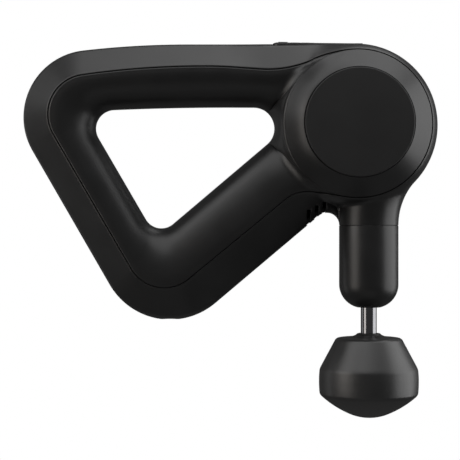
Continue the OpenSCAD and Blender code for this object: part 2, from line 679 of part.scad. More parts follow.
// ---- Charging socket, at the bottom of the grip ----
collar_r = 4;
collar_out_r = 5.3;
collar_h = 3.6;
collar_z = charge_z + 1.9;
jack_r = 3.6;
module charge_collar() {
    color([0.06, 0.06, 0.065]) translate([charge_x, 0, collar_z]) difference() {
        cylinder(r = collar_out_r, h = collar_h + 2);
        translate([0, 0, -1]) cylinder(r = collar_r, h = collar_h + 1);
        translate([0, 0, -1]) cylinder(r = jack_r + 0.1, h = collar_h + 5);
    }
}
module charge_jack() {
    color([0.05, 0.05, 0.05]) translate([charge_x, 0, collar_z + collar_h]) difference() {
        union() {
            cylinder(r = jack_r, h = 3);
            translate([0, 0, 2.1]) cylinder(r = jack_r + 1.6, h = 10);
        }
        translate([0, 0, -1]) cylinder(r = jack_r - 1, h = 10);
    }
}
module charge_pin() {
    color([0.75, 0.7, 0.45]) translate([charge_x, 0, collar_z + collar_h + 0.4]) cylinder(r = 0.95, h = 8.6);
}

// ---- Battery ----
cell_r = 9.2;
cell_h = 65;
cell_pitch = 18.6;
left_bar = [-80.3, 21.6];
top_bar = [-25.5, 90];
lower_bar = [-1.5, -0.9];
left_d = left_n + 90;
top_d = 182;
lower_d = lower_n + 90;
module in_cell_places() {
    in_side_view(left_bar, left_d) children();
    in_side_view(top_bar, top_d) children();
    in_side_view(lower_bar, lower_d) for (s = [-0.5, 0.5]) translate([0, 0, s * cell_pitch]) children();
}
module battery_cells() {
    color([0.2, 0.35, 0.6]) in_cell_places()
        translate([-cell_h / 2, 0, 0]) rotate([0, 90, 0]) cylinder(r = cell_r, h = cell_h);
}
holder_t = 0.8;
cell_gap = 0.05;
holder_w = 6;
module cell_holders() {
    color([0.08, 0.08, 0.085]) for (x = [-26, 20]) {
        for (place = [[left_bar, left_d], [top_bar, top_d]]) in_side_view(place[0], place[1])
            translate([x, 0, 0]) rotate([0, 90, 0]) tube(cell_r + holder_t, cell_r + cell_gap, holder_w);
        in_side_view(lower_bar, lower_d) translate([x, 0, 0]) rotate([0, 90, 0]) linear_extrude(holder_w)
            difference() {
                rounded_rect(cell_pitch + 2 * cell_r + 2 * holder_t, 2 * cell_r + 2 * holder_t, 9.9);
                for (s = [-0.5, 0.5]) translate([s * cell_pitch, 0]) circle(cell_r + cell_gap);
            }
    }
}
module cell_links() {
    color([0.72, 0.72, 0.7]) for (x = [-cell_h / 2 - 0.3, cell_h / 2]) {
        for (place = [[left_bar, left_d], [top_bar, top_d]]) in_side_view(place[0], place[1])
            translate([x, -3, -6]) cube([0.3, 6, 12]);
        in_side_view(lower_bar, lower_d) translate([x, -3, -cell_pitch / 2 - 4]) cube([0.3, 6, cell_pitch + 8]);
    }
}
module battery_board() {
    color([0.08, 0.25, 0.14]) translate([-46, -12, -31.5]) cube([22, 24, 1.4]);
}

// ---- Wiring, held inside the housing ----
lead_route = [
    [-33, -9, -28.3], [-30, -12, -26], [-25, -13.5, -20.7], [-1.5, -13.5, -0.9], [24, -13.5, 20.6],
    [36, -13.8, 32], [43.5, -17.6, 41], [49, -19.3, 46]
];
ribbon_route = [
    [69.7, -24.6, 92.7], [69.7, -24.2, 95.5], [69, -20, 98.5], [67, -14, 99.8], [63, -8, 100.6], [60, -5, 101.2]
];
motor_route = [
    [lead_route_x, 12.9, 61.3], [lead_route_x, 8.5, 61.3], [104.5, 4.5, 61.6], [107.8, -2, 62.5],
    [108.8, -12, 64.5], [108.6, -20, 66.8], [106, -24.2, 68.8], [101.5, -24.6, 69.3], [98, -24.6, 69.3]
];
module battery_lead() color([0.5, 0.08, 0.06]) wire(lead_route, 1.5);
module panel_ribbon() color([0.75, 0.75, 0.73]) wire(ribbon_route, 0.7);
module motor_leads() color([0.85, 0.7, 0.15]) wire(motor_route, 0.9);

outer_band();
front_shell();
rear_shell();
front_cap();
rear_cap();
nose_sleeve();
shaft_wiper();
drive_frame();
guide_bushes();
neck_isolators();
frame_pads();
front_shell_screws();
rear_shell_screws();
stator_core();
stator_windings();
motor_bearings();
rotor_bell();
rotor_magnets();
motor_shaft();
crank_disc();
crank_pin();
crank_roller();
yoke();
yoke_pin();
output_shaft();
grip_rings();
attachment_core();
attachment_foam();
main_board();
board_capacitors();
board_chips();
board_connectors();
control_pad();
display_lens();
display_module();
panel_board();
switch_domes();
power_button();
speed_up_button();
speed_down_button();
charge_collar();
charge_jack();
charge_pin();
battery_cells();
cell_holders();
cell_links();
battery_board();
battery_lead();
panel_ribbon();
motor_leads();
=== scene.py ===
import json
import math
import bpy
import bmesh
import numpy as np
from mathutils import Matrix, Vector


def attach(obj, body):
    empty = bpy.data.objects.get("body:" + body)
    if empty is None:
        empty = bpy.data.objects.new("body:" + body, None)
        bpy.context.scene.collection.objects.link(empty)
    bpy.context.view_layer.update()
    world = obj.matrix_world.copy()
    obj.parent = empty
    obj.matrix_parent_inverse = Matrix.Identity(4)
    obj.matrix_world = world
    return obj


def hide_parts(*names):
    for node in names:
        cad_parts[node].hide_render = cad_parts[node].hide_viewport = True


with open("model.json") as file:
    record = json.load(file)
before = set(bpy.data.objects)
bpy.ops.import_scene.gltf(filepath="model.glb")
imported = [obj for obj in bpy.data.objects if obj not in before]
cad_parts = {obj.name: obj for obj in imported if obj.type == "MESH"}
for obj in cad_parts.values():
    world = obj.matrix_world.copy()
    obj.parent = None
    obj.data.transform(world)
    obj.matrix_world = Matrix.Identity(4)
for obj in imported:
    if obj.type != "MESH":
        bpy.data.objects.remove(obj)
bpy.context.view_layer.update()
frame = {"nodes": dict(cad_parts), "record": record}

MM = 0.001

# ---- Measures in millimetres; places are (x, z), angles are degrees from +X ----
# The round head, the shaft and neck under it, and the hollow between the two
HEAD = np.array([73.7, 61.3])
HEAD_R = 48.2
SHAFT_X = 81.9
NECK_R = 17.45
NECK_Z = 2.9
NECK_A = -73
FLARE_R = 39.0
FLARE_A = -42.1

# The grip: level of its top, where that bows down and how much, and how its sides face
TOP_Z = 109.5
BOW_X = -25
BOW_R = 537.0
LEFT_FACING = 210.2
LOWER_FACING = 310.2
CHARGE_X = -35.3
CHARGE_Z = -52.9

# The seam between the band and the shells: round the head, and where it leaves it
SEAM_R = 43.0
SEAM_LOW = -100.5
SEAM_GAP = 0.45

# Walls of the band in the side view and over its height
WALL = 2.4
WALL_H = 2.6


def arc(c, r, a0, a1, n):
    """n + 1 places along an arc, from angle a0 to a1."""
    a = np.radians(np.linspace(a0, a1, n + 1))
    return np.stack([c[0] + r * np.cos(a), c[1] + r * np.sin(a)], axis=1)


def line(p, q, n):
    """n + 1 places along a straight side."""
    t = np.linspace(0, 1, n + 1)[:, None]
    return np.asarray(p) * (1 - t) + np.asarray(q) * t


def at_angle(c, r, a):
    """The place on a circle at an angle."""
    return arc(c, r, a, a, 0)[0]


def smooth_step(x):
    """0 to 1 with soft ends."""
    x = np.clip(x, 0, 1)
    return x * x * (3 - 2 * x)


def smooth_max(a, b, k):
    """The larger of two heights, with a soft hollow where they cross."""
    k = np.minimum(k, 0.6 * np.maximum(a, b)) + 1e-6
    h = np.clip(0.5 + 0.5 * (a - b) / k, 0, 1)
    return b + (a - b) * h + k * h * (1 - h)


# ---- Heights over the middle plane ----
# The head: a flat drum, a cone round it and a bulge out to the rim
DRUM_HALF = 33.5
CONE_R = 43.0
CONE_H = 21.7
CONE_SLOPE = 1.017
BULGE_FROM = 40.0
BULGE_H = 23.33

# The head's shoulder towards the bars, and the soft hollow where they meet
SHOULDER_FROM = 31.5
SHOULDER_H = 33.4
SHOULDER_SLOPE = 0.5
SHOULDER_BEND = 0.058
HOLLOW = 13.0

# The neck: how it swells upwards, and where it dies out inside the head
SWELL = 110
SWELL_TO = 30
NECK_FADE_FROM = 22
NECK_FADE = 16

# The bars: heights at the seam and at the crest, and how far out the crest lies
SEAM_H = 18.5
PEAK_H = 18.7
PEAK_AT = 0.94

# The band: its width, its rounded edge, and how much fuller that is at its fullest
BAND_W = 16.0
EDGE_R = 5.0
FULLER_TURN = 1.74
FULLER_H = 4.5


def drum(r):
    """The head's half depth: a cone round the cap, then a bulge out to the rim."""
    cone = np.minimum(DRUM_HALF, CONE_H + CONE_SLOPE * (CONE_R - r))
    u = np.clip((r - BULGE_FROM) / (HEAD_R - BULGE_FROM), 0, 1)
    return np.where(r < CONE_R, cone, BULGE_H * np.sqrt(1 - u * u))


def bar_side(p):
    """1 where the head faces the two bars, 0 where the seam runs round it."""
    a = np.degrees(np.arctan2(p[..., 1] - HEAD[1], p[..., 0] - HEAD[0])) % 360
    return smooth_step((a - 92) / 30) * smooth_step((257 - a) / 28)


def head_height(p):
    """The head's half depth at a place; a rounder shoulder on the side of the bars."""
    r = head_distance(p)
    left = bar_side(p)
    q = np.maximum(0, r - SHOULDER_FROM)
    shoulder = np.maximum(0, SHOULDER_H - SHOULDER_SLOPE * q - SHOULDER_BEND * q * q)
    return drum(r) * (1 - left) + shoulder * left


def ring_height(p):
    """The head's shoulder, run softly into the level of the bars on their side."""
    left = bar_side(p)
    level = SEAM_H + (PEAK_H - SEAM_H) * left
    return smooth_max(head_height(p), level, 0.01 + HOLLOW * left)


def flank(w, full):
    """The band's height, w from its edge to the seam; fuller where full nears 1."""
    a = w * BAND_W
    turn = EDGE_R * (1 - math.cos(math.pi / 4)) + FULLER_TURN * full
    bend_a = EDGE_R - full
    bend_h = EDGE_R + FULLER_H * full
    rise = bend_h * np.sqrt(1 - (1 - turn / bend_a) ** 2)
    bend = bend_h * np.sqrt(np.maximum(0, 1 - (1 - np.minimum(a, turn) / bend_a) ** 2))
    return np.where(a < turn, bend, rise + (a - turn) * (SEAM_H - rise) / (BAND_W - turn))


def crown(t):
    """The bars' height, t from the opening (0) to the seam (1)."""
    high = np.maximum(0, (t - PEAK_AT) / (1 - PEAK_AT))
    low = np.clip(1 - t / PEAK_AT, 0, 1)
    return np.where(t > PEAK_AT, PEAK_H - (PEAK_H - SEAM_H) * high ** 3,
                    PEAK_H * np.sqrt(1 - low ** 2))


def neck(p):
    """The neck's half depth, which swells a little upwards and fades inside the head."""
    h = p[..., 1] - NECK_Z
    left = SHAFT_X - NECK_R
    hc = np.clip(h, 0, SWELL_TO)
    right = SHAFT_X + NECK_R + FLARE_R - np.sqrt(FLARE_R ** 2 - hc ** 2)
    x = np.clip((2 * p[..., 0] - left - right) / (right - left), -1, 1)
    height = (NECK_R + hc * hc / SWELL) * np.sqrt(1 - x * x)
    return height * (1 - smooth_step((h - NECK_FADE_FROM) / NECK_FADE))


def head_distance(p):
    return np.hypot(p[..., 0] - HEAD[0], p[..., 1] - HEAD[1])


# ---- The seam and the silhouette, stretch by stretch ----
ARMPIT_R = 7.26
ARMPIT = np.array([SHAFT_X - NECK_R - ARMPIT_R, NECK_Z])
ARMPIT_A = 130.2
FOOT = 26

# Arcs as (middle, radius): the seam from the head's top round the grip, then the corners
SEAM_FALL = ((HEAD[0], HEAD[1] + SEAM_R - 66), 66)
SEAM_DIP = ((22.1, 154), 61)
SEAM_LEVEL = ((-15, 94.9 - 250), 250)
SEAM_BOW = ((-15, 94.9 - 496), 496)
SEAM_LEFT = ((-82.2, 66.9), 23.2)
SEAM_CORNER = ((-38, -11.6), 22.2)
SEAM_RISE = ((45, 2), 20)
EDGE_LEFT = ((-82.2, 66.5), 39.7)
EDGE_CORNER = ((-35.3, -11.6), 41.3)


def bent(shape, change, a0, a1, n):
    """Places along one of the arcs, with its radius changed."""
    middle, radius = shape
    return arc(middle, radius + change, a0, a1, n)


def top_edge(x, inset):
    """The silhouette's top, level and then bowing down towards the left."""
    drop = BOW_R - np.sqrt(BOW_R ** 2 - np.minimum(x - BOW_X, 0) ** 2)
    return np.stack([x, TOP_Z - inset - drop], axis=1)


def blocks(j, i):
    """Pairs of seam and silhouette stretches; j and i move them inwards."""
    facing = math.radians(LOWER_FACING)
    normal = np.array([math.cos(facing), math.sin(facing)])
    along = np.array([-normal[1], normal[0]])
    armpit_start = ARMPIT - (ARMPIT_R + i) * normal
    foot = armpit_start - FOOT * along
    fall = bent(SEAM_FALL, -j, 90, 114, 14)
    dip = bent(SEAM_DIP, j, 294, 265, 22)
    level = bent(SEAM_LEVEL, -j, 85, 90, 12)
    slope = line(dip[-1], level[0], 6)
    bow = bent(SEAM_BOW, -j, 90, 98.2, 30)
    left = bent(SEAM_LEFT, -j, 98.2, LEFT_FACING, 44)
    corner = bent(SEAM_CORNER, -j, LEFT_FACING, LOWER_FACING, 40)
    rise = bent(SEAM_RISE, j, ARMPIT_A, 79.5, 14)
    low = at_angle(HEAD, SEAM_R - j, SEAM_LOW)
    edge_left = bent(EDGE_LEFT, -i, 96.6, LEFT_FACING, 44)
    edge_corner = bent(EDGE_CORNER, -i, LEFT_FACING, LOWER_FACING, 40)
    phi = np.radians(np.linspace(180, 0, 33))
    rim = np.stack([SHAFT_X + (NECK_R - i) * np.cos(phi), np.full(33, NECK_Z)], axis=1)
    flare_c = (SHAFT_X + NECK_R + FLARE_R, NECK_Z)
    top_x = np.linspace(HEAD[0], fall[-1][0], 15)
    dip_x = np.linspace(fall[-1][0], dip[-1][0], 23)
    bow_x = np.linspace(-15, edge_left[0][0], 31)
    return [
        ("head", arc(HEAD, SEAM_R - j, FLARE_A, 90, 60), arc(HEAD, HEAD_R - i, FLARE_A, 90, 60)),
        ("top", fall, top_edge(top_x, i)),
        ("bar", dip, top_edge(dip_x, i)),
        ("bar", slope, top_edge(slope[:, 0], i)),
        ("bar", level, top_edge(level[:, 0], i)),
        ("bar", bow, top_edge(bow_x, i)),
        ("bar", left, edge_left),
        ("bar", line(left[-1], corner[0], 24), line(edge_left[-1], edge_corner[0], 24)),
        ("bar", corner, edge_corner),
        ("bar", line(corner[-1], rise[0], 26), line(edge_corner[-1], foot, 26)),
        ("bar", rise, line(foot, armpit_start, 14)),
        ("armpit", line(rise[-1], low, 10), arc(ARMPIT, ARMPIT_R + i, ARMPIT_A, 0, 10)),
        ("rim", arc(HEAD, SEAM_R - j, SEAM_LOW, NECK_A, 32), rim),
        ("flare", arc(HEAD, SEAM_R - j, NECK_A, FLARE_A, 14),
         arc(flare_c, FLARE_R + i, 180, 180 + FLARE_A, 14)),
    ]


def bar_share(kind, n):
    """How far each of a stretch's n places belongs to the bars, from 0 to 1."""
    ramp = smooth_step(np.arange(n) / n)
    if kind == "top":
        return ramp
    if kind == "armpit":
        return 1 - 0.9 * ramp
    return np.full(n, 1.0 if kind == "bar" else 0.0)


def joined(j, i):
    """The stretches as two closed loops, with each place's kind and share."""
    seam, edge, kind, share = [], [], [], []
    for name, s, e in blocks(j, i):
        n = len(s) - 1
        seam.append(s[:n])
        edge.append(e[:n])
        kind += [name] * n
        share.append(bar_share(name, n))
    return np.concatenate(seam), np.concatenate(edge), np.array(kind), np.concatenate(share)


# The opening's corners, as (middle, radius, first angle, last angle)
OPENING = [
    ((13.9, 59.9), 12.3, LOWER_FACING - 360, 90),
    ((0, 72.25 - 1600), 1600, 90, 92.46),
    ((-68.1, 59.8), 11, 92.46, LEFT_FACING),
    ((-40.5, 11.6), 10.6, LEFT_FACING, LOWER_FACING),
]


def nearest(p):
    """The nearest place on the opening's edge, taken off its arcs and straight sides."""
    best, least = None, 1e9
    for k, (c, r, a0, a1) in enumerate(OPENING):
        d = p - np.array(c)
        a = math.degrees(math.atan2(d[1], d[0]))
        if a < a0 - 0.001:
            a += 360
        places = []
        if a <= a1 + 0.001:
            places.append(np.array(c) + r * d / np.linalg.norm(d))
        c2, r2, b0, _ = OPENING[(k + 1) % 4]
        q0, q1 = at_angle(c, r, a1), at_angle(c2, r2, b0)
        t = np.dot(p - q0, q1 - q0) / np.dot(q1 - q0, q1 - q0)
        if 0 <= t <= 1:
            places.append(q0 + t * (q1 - q0))
        for q in places:
            gap = np.linalg.norm(q - p)
            if gap < least:
                best, least = q, gap
    return best


# ---- Mesh building ----
class Build:
    """Collects rows of points and the faces between them, in millimetres."""

    def __init__(self):
        self.points = []
        self.faces = []
        self.count = 0

    def rows(self, grid, keep=None):
        """Adds closed rows of points; keep says which places get a face."""
        rows, n = grid.shape[:2]
        first = self.count
        self.points.append(grid.reshape(-1, 3))
        self.count += rows * n
        for v in range(rows - 1):
            for u in range(n):
                if keep is not None and not keep[u]:
                    continue
                a = first + v * n + u
                b = first + v * n + (u + 1) % n
                self.faces.append((a, b, b + n, a + n))

    def object(self, name, mirror=False, merge=0.004):
        """The collected faces as one smooth object, points closer than merge joined."""
        pts = np.concatenate(self.points) * MM
        if mirror:
            pts[:, 1] *= -1
        mesh = bpy.data.meshes.new(name)
        mesh.from_pydata([tuple(p) for p in pts], [], self.faces)
        bm = bmesh.new()
        bm.from_mesh(mesh)
        bmesh.ops.remove_doubles(bm, verts=bm.verts, dist=merge * MM)
        bmesh.ops.dissolve_degenerate(bm, edges=bm.edges, dist=merge * MM * 0.5)
        bmesh.ops.recalc_face_normals(bm, faces=bm.faces)
        bm.to_mesh(mesh)
        bm.free()
        for poly in mesh.polygons:
            poly.use_smooth = True
        obj = bpy.data.objects.new(name, mesh)
        bpy.context.scene.collection.objects.link(obj)
        return obj


def lift(p, h, side=-1):
    """Side-view points and their heights as points in the frame."""
    h = np.broadcast_to(h, p.shape[:-1])
    return np.stack([p[..., 0], side * h, p[..., 1]], axis=-1)


def revolve(name, profile, axis="z", at=(0, 0, 0), segments=160):
    """Turns a profile of (radius, height) round an axis through a place."""
    prof = np.asarray(profile, float)
    a = np.linspace(0, 2 * math.pi, segments, endpoint=False)
    ring = np.zeros((len(prof), segments, 3))
    c, s = np.cos(a)[None, :], np.sin(a)[None, :]
    r, h = prof[:, 0:1], prof[:, 1:2]
    if axis == "z":
        ring[..., 0], ring[..., 1], ring[..., 2] = at[0] + r * c, at[1] + r * s, at[2] + h
    else:
        ring[..., 0], ring[..., 2], ring[..., 1] = at[0] + r * c, at[2] + r * s, at[1] + h
    b = Build()
    b.rows(ring)
    return b.object(name, merge=0.0008)


def rounded(points, radius, steps=6):
    """A profile with its inner corners rounded; radius may be one value or one per corner."""
    pts = [np.array(p, float) for p in points]
    out = [pts[0]]
    for k in range(1, len(pts) - 1):
        r = radius[k - 1] if hasattr(radius, "__len__") else radius
        a, b, c = pts[k - 1], pts[k], pts[k + 1]
        ab, cb = a - b, c - b
        la, lc = np.linalg.norm(ab), np.linalg.norm(cb)
        cut = min(r, la * 0.45, lc * 0.45)
        if cut < 1e-4:
            out.append(b)
            continue
        p0, p1 = b + ab / la * cut, b + cb / lc * cut
        for t in np.linspace(0, 1, steps + 1):
            out.append((1 - t) ** 2 * p0 + 2 * t * (1 - t) * b + t * t * p1)
    out.append(pts[-1])
    return out


# ---- Outer band ----
RIM_FADE = 5
LEAST_H = 0.15
FULL_FROM = 20
SOCKET_REACH = 24


def band_surface(j, i, rows, scale):
    """One face of the band: places, heights, and which of them lie on the neck's rim."""
    seam, edge, kind, share = joined(j, i)
    w = np.linspace(0, 1, rows) ** 1.7
    p = edge[None] * (1 - w[:, None, None]) + seam[None] * w[:, None, None]
    top_full = np.clip(seam[:, 0] / FULL_FROM, 0, 1) * (seam[:, 1] > 90)
    near_socket = smooth_step(1.4 - np.abs(edge[:, 0] - CHARGE_X) / SOCKET_REACH)
    low_full = 1.1 * near_socket * (seam[:, 1] < 0)
    side = share[None] * flank(w[:, None], (top_full + low_full)[None])
    h = smooth_max(drum(head_distance(p)), neck(p), 7.2 - 6.8 * w[:, None] ** 2)
    h = smooth_max(h, side, 5.0)
    bulge = drum(HEAD_R - (HEAD_R - SEAM_R) * w)[:, None]
    h = np.where(kind == "top", bulge * (1 - share) + side, h) * scale
    rim = kind == "rim"
    rim_next = rim | np.roll(rim, 1)
    round_h = np.sqrt(np.maximum(0, (NECK_R - i) ** 2 - (p[..., 0] - SHAFT_X) ** 2))
    near = np.clip(1 - (p[..., 1] - NECK_Z) / RIM_FADE, 0, 1)
    h = np.where(rim_next[None] & (near > 0), h * (1 - near) + round_h * near, h)
    h[0] = np.where(rim_next, round_h[0], 0)
    h[1:] = np.maximum(h[1:], LEAST_H)
    return p, h, rim


def build_band():
    """Both halves of the band: outside, inside, the ledge under the seam and the neck's rim."""
    b = Build()
    outer_p, outer_h, rim = band_surface(0, 0, 30, 1.0)
    inner_p, inner_h, _ = band_surface(0, WALL, 8, 1 - WALL_H / SEAM_H)
    towards = joined(0.06, 0)[0]
    ledge = joined(2.0, 0)[0]
    for side in (-1, 1):
        outer = lift(outer_p, outer_h, side)
        inner = lift(inner_p, inner_h, side)
        lip = np.stack([
            outer[-1],
            lift(towards, outer_h[-1] - 0.06, side),
            lift(towards, outer_h[-1] - 1.2, side),
            lift(ledge, outer_h[-1] - 1.5, side),
            lift(ledge, outer_h[-1] - 2.2, side),
            inner[-1],
        ])
        b.rows(outer)
        b.rows(lip)
        b.rows(inner)
        b.rows(np.stack([outer[0], inner[0]]), keep=rim)
    return b.object("band_look")


def cut_out(obj, boxes, posts):
    """Takes boxes (low corner, high corner) and upright posts (centre, radius, height) away."""
    b = bmesh.new()
    for lo, hi in boxes:
        made = bmesh.ops.create_cube(b, size=1.0)
        for v in made["verts"]:
            v.co = Vector([(lo[k] + (v.co[k] + 0.5) * (hi[k] - lo[k])) * MM for k in range(3)])
    for centre, r, h in posts:
        made = bmesh.ops.create_cone(b, cap_ends=True, segments=64, radius1=r * MM,
                                     radius2=r * MM, depth=h * MM)
        bmesh.ops.translate(b, verts=made["verts"], vec=Vector(centre) * MM)
    mesh = bpy.data.meshes.new("cutter")
    b.to_mesh(mesh)
    b.free()
    cutter = bpy.data.objects.new("cutter", mesh)
    bpy.context.scene.collection.objects.link(cutter)
    mod = obj.modifiers.new("cut", "BOOLEAN")
    mod.operation = "DIFFERENCE"
    mod.solver = "EXACT"
    mod.object = cutter
    deps = bpy.context.evaluated_depsgraph_get()
    result = bpy.data.meshes.new_from_object(obj.evaluated_get(deps))
    obj.modifiers.clear()
    obj.data = result
    bpy.data.objects.remove(cutter)


# ---- Shells ----
CAP_R = 31.2
CAP_FACE = 34.0
CAP_FLOOR = 31.4
SHEET_ROWS = 40
LEAVE = 0.2
EDGE_H = 0.06
LIP = 2.5


def bar_sheet(radius):
    """The shell over the bars, from its outer edge to the grip's opening."""
    grip, share = [], []
    for kind, seam, _ in blocks(SEAM_GAP, 0):
        if kind in ("top", "bar", "armpit"):
            grip.append(seam[:-1])
            share.append(bar_share(kind, len(seam) - 1))
    grip = np.concatenate(grip)
    left = arc(HEAD, radius, 360 + SEAM_LOW, 90, 90)[:-1]
    start = np.concatenate([grip, left])
    on_seam = np.arange(len(start)) < len(grip)
    share = np.concatenate(share + [np.ones(len(left))])[None]
    target = np.array([nearest(p) for p in start])
    w = np.sin(np.linspace(0, math.pi / 2, SHEET_ROWS))
    p = start[None] * (1 - w[:, None, None]) + target[None] * w[:, None, None]

    # The bars' round section, flat next to the head, run softly into the head's shoulder
    flat = np.where(on_seam, 0, bar_side(start))[None]
    level = np.where(1 - w > PEAK_AT, PEAK_H, crown(1 - w))[:, None]
    bar = crown(1 - w)[:, None] * (1 - flat) + level * flat
    inside = smooth_step(w / 0.35)[:, None]
    bar = bar * (share + (1 - share) * inside)
    fall = np.sqrt(1 - w[:, None] ** 5)
    h = smooth_max(bar, head_height(p) * fall, HOLLOW)

    # It starts just under the band's seam, or level with the ring
    first = len(blocks(0, 0)[0][1]) - 1
    seam_h = band_surface(0, 0, 2, 1.0)[1][-1][first:first + len(grip)]
    start_h = np.concatenate([seam_h - 0.2, ring_height(left)])[None]
    leave = smooth_step(w / LEAVE)[:, None]
    h = start_h * (1 - leave) + h * leave
    h[-1] = EDGE_H

    # It stays below the ring where the two run over each other
    depth = radius - head_distance(p)
    under = ring_height(p) - 0.4 * np.clip(depth / 2, 0, 1)
    h = np.where(depth > 0, np.minimum(h, under), h)
    away = (start - target) / np.linalg.norm(start - target, axis=1)[:, None]
    return start, on_seam, h, lift(p, h), lift(target + 2 * away, EDGE_H)


def build_shell(name, mirror):
    """One shell: the sheet over the bars and the ring round the cap."""
    b = Build()
    radius = SEAM_R - SEAM_GAP
    start, on_seam, h, surface, turned_in = bar_sheet(radius)
    b.rows(surface)
    b.rows(np.stack([surface[-1], turned_in]))
    b.rows(np.stack([lift(start, h[0] - LIP), surface[0]]), keep=on_seam)
    angles = np.concatenate([
        np.linspace(FLARE_A, 90, 61)[:-1],
        np.linspace(90, 360 + SEAM_LOW, 91)[:-1],
        np.linspace(360 + SEAM_LOW, 360 + NECK_A, 33)[:-1],
        np.linspace(360 + NECK_A, 360 + FLARE_A, 15)[:-1],
    ])
    free = (angles < 90) | (angles >= 360 + SEAM_LOW)
    rad = np.radians(angles)
    unit = np.stack([np.cos(rad), np.sin(rad)], axis=1)
    outwards = [(r, 0) for r in np.linspace(radius, CAP_R + 0.9, 44)]
    outwards += [(CAP_R + 0.55, 0), (CAP_R + 0.3, 0.08), (CAP_R + 0.2, 0.4)]
    rings = []
    for r, drop in outwards:
        places = HEAD + r * unit
        rings.append(lift(places, ring_height(places) - drop))
    rings[0][:, 1] += np.where(free, 0.2, 0)
    rings.append(lift(HEAD + (CAP_R + 0.2) * unit, CAP_FLOOR - 0.01))
    rings.append(lift(HEAD + 2.0 * unit, CAP_FLOOR - 0.01))
    b.rows(np.stack(rings))
    b.rows(np.stack([lift(HEAD + radius * unit, drum(radius) - LIP), rings[0]]), keep=free)
    return b.object(name, mirror=mirror)


band = build_band()
SOCKET_R = 5.5
VENT_H = 9.2
pad_hole = ((25.0, -7.2, 85), (78.2, 7.2, 130))
vents = []
for vent_x, vent_top in ((46.1, 12), (50.8, 14.4), (55.3, 16.4)):
    vents.append(((vent_x - 1, -15, vent_top - VENT_H), (vent_x + 1, 2, vent_top)))
cut_out(band, vents + [pad_hole], [((CHARGE_X, 0, CHARGE_Z + 4), SOCKET_R, 12)])
front = build_shell("front_shell_look", False)
rear = build_shell("rear_shell_look", True)

# ---- Caps, nose, shaft, attachment ----
HEAD_AXIS = (HEAD[0], 0, HEAD[1])
SHAFT_AXIS = (SHAFT_X, 0, 0)
cap_profile = rounded([(0, CAP_FLOOR), (CAP_R, CAP_FLOOR), (CAP_R, CAP_FACE), (0, CAP_FACE)],
                      [0.1, 0.75])
front_cap = revolve("front_cap_look", [(r, -y) for r, y in cap_profile], "y", HEAD_AXIS)
rear_cap = revolve("rear_cap_look", cap_profile, "y", HEAD_AXIS)

NOSE_Z = -46.0
NOSE_ROUND = 14.0
HOLE_R = 6.8
SHAFT_R = 4.7
SHAFT_TOP = 52.3
BORE_R = 4.75
BOSS_Z = -60.9
TIP_Z = -83.9
nose_arc = arc((NECK_R - NOSE_ROUND, NOSE_Z + NOSE_ROUND), NOSE_ROUND, -90, 0, 28)
nose_profile = [(HOLE_R, NOSE_Z + 4), (HOLE_R, NOSE_Z + 0.75), (HOLE_R + 0.25, NOSE_Z + 0.45)]
nose_profile += [tuple(p) for p in nose_arc if p[0] > HOLE_R + 0.4]
nose_profile += [
    (NECK_R, NECK_Z - 0.5), (NECK_R - 0.1, NECK_Z - 0.24), (NECK_R - 0.4, NECK_Z - 0.2),
    (NECK_R - 0.4, NECK_Z + 1.5), (NECK_R - 2.6, NECK_Z + 1.5),
]
nose = revolve("nose_look", nose_profile, "z", SHAFT_AXIS)
wiper_profile = rounded([
    (BORE_R, NOSE_Z + 2.4), (BORE_R, NOSE_Z + 0.5), (6.0, NOSE_Z + 0.3),
    (HOLE_R, NOSE_Z + 0.9), (HOLE_R, NOSE_Z + 2.4),
], 0.4)
wiper = revolve("wiper_look", wiper_profile, "z", SHAFT_AXIS)
shaft_profile = rounded([(0, TIP_Z), (SHAFT_R, TIP_Z), (SHAFT_R, SHAFT_TOP), (0, SHAFT_TOP)], 0.7)
shaft = revolve("shaft_look", shaft_profile, "z", SHAFT_AXIS, 96)

core_profile = rounded([
    (0, TIP_Z - 0.3), (BORE_R, TIP_Z - 0.3), (BORE_R, BOSS_Z - 0.1), (6.6, BOSS_Z),
    (7.8, BOSS_Z - 1.1), (11.4, BOSS_Z - 2.4), (17.9, BOSS_Z - 2.75), (17.9, BOSS_Z - 4.5),
    (0, BOSS_Z - 24),
], [0.05, 0.1, 0.5, 0.8, 1.0, 0.3, 0.1])
core = revolve("core_look", core_profile, "z", SHAFT_AXIS)

# The foam: a dome, a flatter flank that runs on from it, then the rounded belly and top
FOAM_Z = -110.7
DOME_R = 29.4
FLANK_R = 59.4
FLANK_FROM = -67
break_at = math.radians(FLANK_FROM)
dome_c = np.array([0, FOAM_Z + DOME_R])
dome = arc(dome_c, DOME_R, -90, FLANK_FROM, 14)
flank_c = dome_c + (DOME_R - FLANK_R) * np.array([math.cos(break_at), math.sin(break_at)])
side = arc(flank_c, FLANK_R, FLANK_FROM + 1, -48, 14)
belly = rounded([
    tuple(side[-1]), (29.0, FOAM_Z + 14.2), (29.32, FOAM_Z + 18.5), (29.35, FOAM_Z + 24),
    (29.0, FOAM_Z + 28.4), (28.2, FOAM_Z + 30.2), (19.6, BOSS_Z - 3.5),
    (18.2, BOSS_Z - 2.75), (17.4, BOSS_Z - 3.6),
], [1.6, 2, 2, 1.5, 1.2, 1.0, 0.3])
foam_profile = [tuple(p) for p in dome] + [tuple(p) for p in side] + belly[1:]
foam = revolve("foam_look", foam_profile, "z", SHAFT_AXIS, 200)


# ---- Materials ----
def set_inputs(node, values):
    for key, value in values.items():
        node.inputs[key].default_value = value


def noise(tree, place, scale, detail):
    """Noise at a place, as a value round one half."""
    node = tree.nodes.new("ShaderNodeTexNoise")
    set_inputs(node, {"Scale": scale, "Detail": detail})
    tree.links.new(place, node.inputs["Vector"])
    return node.outputs["Fac"]


